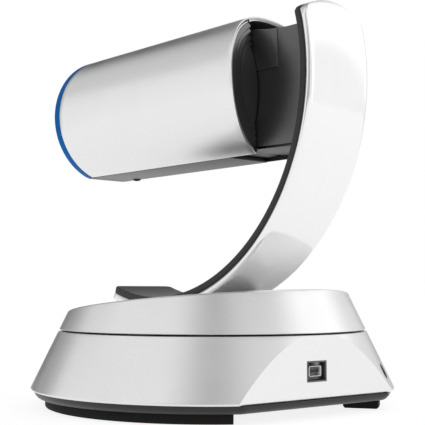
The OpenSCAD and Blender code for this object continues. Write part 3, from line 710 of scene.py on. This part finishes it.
def arm_band(stations, steps=150, corner=4 * MM, arch=34.4 * MM):
    """Sweeps pairs of (x, outer radius, inner radius) between the band's shaped ends."""
    outer, inner = [], []
    for x, r_out, r_in in stations:
        for r, rows in ((r_out, outer), (r_in, inner)):
            a, b = arm_end_angles(r, x, corner, arch)
            rows.append([arm_point(r, a + (b - a) * k / steps, x) for k in range(steps + 1)])
    loops = outer + inner[::-1]
    width = steps + 1
    verts, faces = grid(loops, close_rows=True)
    count = len(stations)
    for k in range(count - 1):
        a, b = k * width, (k + 1) * width
        c, d = (2 * count - 2 - k) * width, (2 * count - 1 - k) * width
        faces.append((a, b, c, d))
        faces.append((a + steps, d + steps, c + steps, b + steps))
    return verts, faces


def across(half, count):
    """Side distances from -half to half, closer together towards the edges."""
    return [half * math.sin(math.pi / 2 * (2 * k / count - 1)) for k in range(count + 1)]


def build_arm():
    """Crowned bright shell with rounded sides, and the dark liner inside it."""
    crown, bulge, reach = 0.5 * MM, 1.3 * MM, 2.6 * MM
    # distances in from each side in mm, close together where the side is rounded
    inward = [0, 0.01, 0.04, 0.1, 0.2, 0.35, 0.55, 0.8, 1.05, 1.3, 1.9, 2.6, 4, 7, 10.5, 14, 17.5]
    near = [ARM_HALF - d * MM for d in inward]
    shell = []
    for x in [-d for d in near] + [0] + near[::-1]:
        d = ARM_HALF - abs(x)
        outer = 1 - min(d / reach, 1)
        fall = 1.5 * MM * (1 - math.sqrt(1 - outer * outer))
        rise = 2 * MM * (1 - math.sqrt(min(d / bulge, 1)))
        top = ARM_OUTER - crown * (x / ARM_HALF) ** 2 - fall
        shell.append((x, top, ARM_SPLIT + 0.05 * MM + rise))
    verts, faces = arm_band(shell)
    piece("arm_back", verts, faces, "turntable", "polished_silver", ["arm_shell"], 0.25 * MM, 2, 50)
    liner = [(x, ARM_SPLIT - 0.1 * MM, ARM_INNER) for x in across(ARM_HALF - 1 * MM, 14)]
    piece("arm_inside", *arm_band(liner), "turntable", "black_plastic", ["arm_liner"], bevel=0.5 * MM)
    build_fairing()


def build_fairing():
    """Closes the wedge between the slanted top and the arm's raised front end."""
    half, start, tip = 17.5 * MM, -38 * MM, -57.6 * MM
    steps = 14
    rows = []
    for x in across(half, 10):
        row_low, row_high = [], []
        for k in range(steps + 1):
            y = start + (tip - start) * k / steps
            low = TOP_Z + TOP_SLANT * y - 0.2 * MM
            high = ARM_Z - math.sqrt(ARM_OUTER**2 - (y - ARM_Y) ** 2) + 0.4 * MM
            row_low.append((x, y, low))
            row_high.append((x, y, max(high, low + 0.02 * MM)))
        rows.append(row_low + row_high[::-1])
    verts, faces = sweep(rows)
    piece("arm_foot_fairing", verts, faces, "turntable", "satin_silver", ["arm_fairing"], 0.4 * MM, 2)


# ---------------------------------------------------------------- neck


def neck_outlines():
    """Side outlines, as (y, z), of the two halves, the cap, the sole's plate and the web above it."""
    low, top, gap, lift = SOLE_LOW.z, NECK_HIGH.z, 0.25 * MM, 1.3 * MM
    split_z, split_y = CAP_LOW.z - gap, CAP_HIGH.y + gap
    drum = (TILT_Y, TILT_Z)
    start, step, rise_y, ledge = SOLE_LOW.y, 38.8 * MM, 65 * MM, 0.45 * MM

    def rear(z):
        return ARM_Y + math.sqrt(ARM_INNER**2 - (z - ARM_Z) ** 2) - 0.02 * MM

    def drum_angle(z):
        return 180 - math.degrees(math.asin((z - TILT_Z) / DRUM_R))

    def below(y):
        return 360 - math.degrees(math.acos((y - TILT_Y) / DRUM_R))

    half = [(split_y, split_z), (split_y, top + ledge), (64.8 * MM, top)]
    heights = [top + (low + lift - top) * k / 12 for k in range(13)]
    half += [(rear(z), z) for z in heights]
    half += [(rise_y, low + lift), (step + lift, low + lift + 0.6 * MM)]
    half += arc(drum, DRUM_R - 0.1 * MM, below(step + lift), drum_angle(split_z), 40)
    cap = [(split_y - gap, split_z + gap), (split_y - gap, top + ledge), (52.2 * MM, top + 1.1 * MM)]
    cap += [(43.3 * MM, top + 2.6 * MM), (40.5 * MM, top + 2.8 * MM), (TILT_Y + 6 * MM, top - 1.5 * MM)]
    cap += arc(drum, DRUM_R, 88, drum_angle(split_z + gap), 16)
    sole = arc(drum, DRUM_R, below(start), below(step), 12)
    sole += [(step, low + 0.6 * MM), (rise_y, low), (rear(low), low)]

    def raised(height):
        return [(y, z + height) for y, z in sole]

    plate = sole + raised(0.3 * MM)[::-1]
    web = raised(0.2 * MM) + raised(lift + 0.3 * MM)[::-1]
    return half, cap, plate, web


def build_neck():
    half, cap, plate, web = neck_outlines()
    full, gap, inset, soft = NECK_HALF, 0.06 * MM, 1.1 * MM, 0.25 * MM
    for name, x0, x1 in (("left", gap, full), ("right", -full, -gap)):
        verts, faces = extrude_x(half, x0, x1)
        piece(f"neck_half_{name}", verts, faces, "turntable", "dark_plastic", [f"neck_{name}"], soft)
    piece("neck_top_cap", *extrude_x(cap, -full, full), "turntable", "dark_plastic", ["neck_cap"], soft)
    verts, faces = extrude_x(plate, -full, full)
    piece("neck_sole_plate", verts, faces, "turntable", "grey_panel", ["neck_sole"], 0.08 * MM)
    # the web is the inner wall of a real groove under the halves; its black plastic, darker than the halves, adds
    # painted shade to the groove's shadow
    verts, faces = extrude_x(web, inset - full, full - inset)
    piece("neck_sole_web", verts, faces, "turntable", "black_plastic")


# ---------------------------------------------------------------- head


def scoop_y(z, shrink=0.0):
    return SCOOP_Y + math.sqrt((SCOOP_R - shrink) ** 2 - (z - SCOOP_Z) ** 2)


def head_point(r, psi, y):
    """psi 0 points straight down and turns towards +X."""
    return Vector((r * math.sin(psi), y, HEAD_Z - r * math.cos(psi)))


def build_head_shell():
    """Tube whose wall stops at the flat, at the slot for the neck and at the scooped rear edge."""
    steps, along, rim, deep = 156, 40, 0.6 * MM, 1.2 * MM
    chamfer, chamfer_run = 0.45 * MM, 0.6 * MM
    loops = []
    for k in range(steps + 1):
        row = []
        at_edge = k in (0, steps)
        outside = HEAD_R - (chamfer if at_edge else 0)
        for r, short in ((outside, 0), (HEAD_R - rim, 0), (HEAD_R - rim, deep), (HEAD_R - HEAD_WALL, deep)):
            flat = math.asin(FLAT_HALF / r)
            place = min(max(k - 1, 0), steps - 2) / (steps - 2)
            psi = flat + (2 * math.pi - 2 * flat) * place
            if not at_edge and place in (0, 1):
                psi += (chamfer_run / r) * (1 - 2 * place)
            end = scoop_y(HEAD_Z - r * math.cos(psi), short)
            ys = [HEAD_FRONT + (end - HEAD_FRONT) * j / along for j in range(along + 1)]
            line = [head_point(r, psi, y) for y in ys]
            if r == outside:
                row += line
            elif r > HEAD_R - HEAD_WALL:
                row.append(line[-1])
            else:
                row += line[::-1]
        loops.append(row)
    piece("head_tube", *sweep(loops), "head", "satin_silver", ["head_shell"], 0.12 * MM, 2, 35)


def build_slot_painted_shade():
    """Black strips on the tube's wall along the slot for the neck: painted shade for the wall's shadowed inner
    edge.
    """
    low, high, gap = FLAT_Z + 0.3 * MM, FLAT_Z + 3.2 * MM, 0.1 * MM
    strip = [(FLAT_END, low), (scoop_y(low) - gap, low), (scoop_y(high) - gap, high), (FLAT_END, high)]
    for sign, name in ((1, "left"), (-1, "right")):
        x0, x1 = sorted((sign * (FLAT_HALF - 0.08 * MM), sign * (FLAT_HALF + 0.3 * MM)))
        # black plastic strips: painted shade along the slot's edges, where the wall is in shadow
        piece(f"slot_edge_{name}", *extrude_x(strip, x0, x1), "head", "black_plastic")


def d_lathe(profile, floor_z, steps=160):
    """Turns a closed outline of (radius, y) about the head's axis, cut flat underneath at floor_z."""
    drop = HEAD_Z - floor_z
    flat = math.acos(drop / HEAD_R)
    angles = [-flat + 2 * flat * k / 16 for k in range(16)]
    angles += [flat + (2 * math.pi - 2 * flat) * k / steps for k in range(steps)]
    rows = []
    for psi in angles:
        limit = drop / math.cos(psi) if math.cos(psi) > 0 else HEAD_R
        rows.append([head_point(min(r, limit), psi, y) for r, y in profile])
    return grid(rows, close_rows=True, close_columns=True)


def build_ring():
    """Tinted ring at the head's front, and the thin metal seal behind it."""
    front, back, floor = RING_LOW.y, RING_HIGH.y, FLAT_Z + 0.5 * MM
    inner, soft = 33 * MM, 0.3 * MM
    ring = [(HEAD_R, back), (HEAD_R, front + soft)]
    ring += [(HEAD_R - 0.08 * MM, front + 0.08 * MM), (HEAD_R - soft, front)]
    ring += [(33.6 * MM, front), (33.1 * MM, front + soft), (inner, front + 1.2 * MM), (inner, back)]
    piece("ring_front", *d_lathe(ring, floor), "head", "blue_ring", ["ring_trim"], sharp=50)
    outer, inner, start, end = HEAD_R - 0.12 * MM, 33.5 * MM, back - 0.1 * MM, back + 0.25 * MM
    seam = [(outer, end), (outer, start), (inner, start), (inner, end)]
    piece("ring_seal", *d_lathe(seam, floor), "head", "connector_metal", sharp=30)


def build_bezel():
    """Dark surround that steps down from the ring to the window."""
    # radius and depth behind the ring's front
    steps = [(33, 4.8), (33, 2), (32.7, 1.7), (31, 1.5), (25.2, 1.5), (24.6, 1.7), (24.2, 2.3)]
    steps += [(23, 2.4), (22.6, 2.8), (21.5, 3.4), (21.3, 6), (31, 6)]
    bezel = [(r * MM, RING_LOW.y + depth * MM) for r, depth in steps]
    verts, faces = d_lathe(bezel, FLAT_Z + 2 * MM)
    piece("front_surround", verts, faces, "head", "black_plastic", ["front_bezel"], sharp=30)


def build_window():
    """Domed window with a nearly flat back."""
    radius, crown, thick, hollow, steps = 22.9 * MM, 0.9 * MM, 1.5 * MM, 0.2 * MM, 12
    front = GLASS_LOW.y
    window = []
    for k in range(steps + 1):
        r = radius * k / steps
        window.append((max(r, AXIS_R), front + crown * (r / radius) ** 2))
    window.append((radius, front + thick + hollow))
    for k in range(1, steps + 1):
        window.append((radius * (steps - k) / steps + AXIS_R, front + thick + hollow * (1 - k / steps)))
    verts, faces = lathe(window, (0, 0, HEAD_Z), (0, 1, 0), 96)
    piece("front_window", verts, faces, "head", "window_glass", ["front_glass"], sharp=40)


def build_hood():
    """Ribbed hood around the front lens."""
    front = BARREL_LOW.y
    hood = [(20.5 * MM, front - 1.4 * MM)]
    for k in range(6):
        r = (20.2 - 0.55 * k) * MM
        h = front + (0.42 * k - 1.2) * MM
        hood += [(r, h), (r - 0.45 * MM, h + 0.05 * MM)]
    hood += [(17 * MM, front + 1.4 * MM), (21 * MM, front + 1.4 * MM)]
    verts, faces = lathe(hood, (0, 0, HEAD_Z), (0, 1, 0), 96)
    piece("lens_hood", verts, faces, "head", "black_plastic", sharp=25)


def build_head_front():
    build_ring()
    build_bezel()
    build_window()
    build_hood()


def cowl_profile():
    """Radius and depth of the cowl's steps, from its rim inwards, each with a rounded inner edge."""
    first, rise, soft, floor_r = 1.5, 1.3, 0.8, 23.3
    profile = [(34.85, 0.2), (34.7, first)]
    for k, inner in enumerate((30.8, 28.1, 25.3)):
        depth = first + rise * k
        profile += [(inner + soft, depth), (inner + 0.3 * soft, depth + 0.3 * soft)]
        profile += [(inner, depth + soft), (inner, depth + rise)]
    profile += [(floor_r, first + 3 * rise), (floor_r, 6.4)]
    return [(r * MM, depth * MM) for r, depth in profile]


def build_rear_cowl():
    """Stepped dark dish that closes the rear opening on both sides of the neck."""
    side, steps, thick, floor_steps = FLAT_HALF + 0.2 * MM, 72, 2 * MM, 4
    profile = cowl_profile()
    for sign, name in ((1, "left"), (-1, "right")):
        rows = []
        for k in range(steps + 1):
            line = []
            for r, depth in profile:
                t = math.acos(side / r) * (2 * k / steps - 1)
                line.append((r * math.cos(t), r * math.sin(t), depth))
            x, z, depth = line[-1]
            for j in range(1, floor_steps + 1):
                line.append((side + (x - side) * (floor_steps - j) / floor_steps, z, depth))
            front = [(sign * x, scoop_y(HEAD_Z + z, d), HEAD_Z + z) for x, z, d in line]
            back = [(sign * x, scoop_y(HEAD_Z + z, d + thick), HEAD_Z + z) for x, z, d in line[2::2]]
            rows.append(front + back[::-1])
        replaced = ["rear_cowl"] if sign > 0 else ()
        piece(f"rear_steps_{name}", *sweep(rows), "head", "dark_plastic", replaced, sharp=50)


def build_underside():
    """Grey panel on the head's flat, its thin front lip, and its rear end made black plastic as painted shade for
    the shadowed end of the panel.
    """
    low, high = PANEL_LOW, PANEL_HIGH
    edge, soft = 0.05 * MM, 0.1 * MM
    left, right, end = low.x + edge, high.x - edge, high.y - 0.4 * MM
    lip = box_mesh((left, RING_LOW.y + 0.3 * MM, low.z), (right, low.y - edge, low.z + 0.45 * MM))
    piece("underside_lip", *lip, "head", "grey_panel", bevel=soft, segments=2)
    # the panel's last 0.4 mm is black plastic: painted shade where the panel's end falls in shadow
    painted_shade_end = box_mesh((left, end, low.z + edge), (right, high.y, high.z))
    piece("underside_cover_end", *painted_shade_end, "head", "black_plastic", bevel=soft, segments=2)
    cover = box_mesh((left, low.y, low.z), (right, end, high.z))
    piece("underside_cover", *cover, "head", "grey_panel", ["underside_panel"], bevel=0.25 * MM)


def build_stud():
    """Small domed stud under the head's front."""
    low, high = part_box("underside_bumper")
    r, tall = (high.x - low.x) / 2, high.z - low.z
    angles = [math.radians(a) for a in range(15, 90, 15)]
    dome = [(AXIS_R, 0), (r, 0)]
    dome += [(r * math.cos(a), -tall * math.sin(a)) for a in angles]
    dome.append((AXIS_R, -tall))
    verts, faces = lathe(dome, ((low.x + high.x) / 2, (low.y + high.y) / 2, high.z), (0, 0, 1), 40)
    piece("underside_stud", verts, faces, "head", "foot_rubber", ["underside_bumper"], sharp=40)


# ---------------------------------------------------------------- what the CAD already shapes


def dress_cad_nodes():
    """Gives every CAD node that stays its slot's material."""
    slots = {s["node"]: s["material_slot"] for s in frame["record"]["subparts"]}
    for name, obj in frame["nodes"].items():
        obj.data.materials.clear()
        obj.data.materials.append(MATERIALS[slots[name]])


# ---------------------------------------------------------------- studio

# The camera looks up from a little below the head, from behind and to one side
CAMERA_AZIMUTH = math.radians(138.064)
CAMERA_DISTANCE = 506.8 * MM
CAMERA_HEIGHT = 55.81 * MM
CAMERA_PITCH = math.radians(4.526)


def add_camera():
    data = bpy.data.cameras.new("camera")
    data.lens, data.sensor_width = 84.55, 36
    data.clip_start, data.clip_end = 0.01, 50
    camera = bpy.data.objects.new("camera", data)
    bpy.context.scene.collection.objects.link(camera)
    back = Vector((math.sin(CAMERA_AZIMUTH), -math.cos(CAMERA_AZIMUTH), 0))
    camera.location = back * CAMERA_DISTANCE + Vector((0, 0, CAMERA_HEIGHT))
    forward = -back * math.cos(CAMERA_PITCH) + Vector((0, 0, math.sin(CAMERA_PITCH)))
    camera.rotation_mode = "QUATERNION"
    camera.rotation_quaternion = forward.to_track_quat("-Z", "Y")
    bpy.context.scene.camera = camera


# Radiance of the sky's panels and glow of the pale floor
BRIGHT, STRONG, SOFT, FAINT = 1.25, 1.0, 0.6, 0.35
# Soft panels of the sky: azimuth and elevation, half-angles of the full and the faded part, radiance
SKY_PANELS = [
    # white backdrop behind the object
    (318, 4.5, 17, 19.5, BRIGHT),
    # low panels all round, with a dim gap on the far side of the backdrop
    (5, 20, 6, 30, FAINT),
    (42, 4, 6, 34, BRIGHT),
    (90, 12, 10, 42, FAINT),
    (135, 12, 10, 40, FAINT),
    (180, 12, 10, 40, STRONG),
    (222, 12, 12, 38, BRIGHT),
    (268, 16, 12, 36, STRONG),
    # raised panels
    (20, 46, 8, 34, SOFT),
    (78, 46, 12, 40, STRONG),
    (135, 52, 8, 34, FAINT),
    (195, 48, 12, 40, SOFT),
    (250, 48, 10, 36, SOFT),
    (295, 46, 8, 34, SOFT),
]
FLOOR_GLOW = 0.85


def sky_direction(azimuth, elevation):
    a, e = math.radians(azimuth), math.radians(elevation)
    return (math.sin(a) * math.cos(e), -math.cos(a) * math.cos(e), math.sin(e))


def add_world():
    """A sky made of soft round panels added together."""
    world = bpy.data.worlds.new("studio")
    bpy.context.scene.world = world
    world.use_nodes = True
    nodes, links = world.node_tree.nodes, world.node_tree.links
    nodes.clear()
    place = nodes.new("ShaderNodeTexCoord")
    total = None
    for azimuth, elevation, inner, outer, radiance in SKY_PANELS:
        facing = nodes.new("ShaderNodeVectorMath")
        facing.operation = "DOT_PRODUCT"
        facing.inputs[1].default_value = sky_direction(azimuth, elevation)
        fade = nodes.new("ShaderNodeMapRange")
        fade.interpolation_type = "SMOOTHSTEP"
        fade.inputs["From Min"].default_value = math.cos(math.radians(outer))
        fade.inputs["From Max"].default_value = math.cos(math.radians(inner))
        fade.inputs["To Max"].default_value = radiance
        links.new(place.outputs["Generated"], facing.inputs[0])
        links.new(facing.outputs["Value"], fade.inputs["Value"])
        if total is None:
            total = fade.outputs["Result"]
        else:
            add = nodes.new("ShaderNodeMath")
            links.new(total, add.inputs[0])
            links.new(fade.outputs["Result"], add.inputs[1])
            total = add.outputs["Value"]
    background = nodes.new("ShaderNodeBackground")
    output = nodes.new("ShaderNodeOutputWorld")
    links.new(total, background.inputs["Strength"])
    links.new(background.outputs["Background"], output.inputs["Surface"])


def add_floor():
    mesh = bpy.data.meshes.new("floor")
    reach, steps = 6, 96
    angles = [2 * math.pi * k / steps for k in range(steps)]
    verts = [(0, 0, 0)] + [(reach * math.cos(a), reach * math.sin(a), 0) for a in angles]
    mesh.from_pydata(verts, [], [(0, k + 1, (k + 1) % steps + 1) for k in range(steps)])
    floor = bpy.data.objects.new("floor", mesh)
    bpy.context.scene.collection.objects.link(floor)
    material, shader = new_material("pale_floor", (0.2, 0.2, 0.2), 0, 0.8)
    shader.inputs["Emission Color"].default_value = (1, 1, 1, 1)
    shader.inputs["Emission Strength"].default_value = FLOOR_GLOW
    mesh.materials.append(material)


def add_studio():
    bpy.context.scene.view_settings.view_transform = "Standard"
    add_camera()
    add_world()
    add_floor()


add_studio()
dress_cad_nodes()
build_base()
build_turntable()
build_arm()
build_neck()
build_head_shell()
build_slot_painted_shade()
build_head_front()
build_rear_cowl()
build_underside()
build_stud()
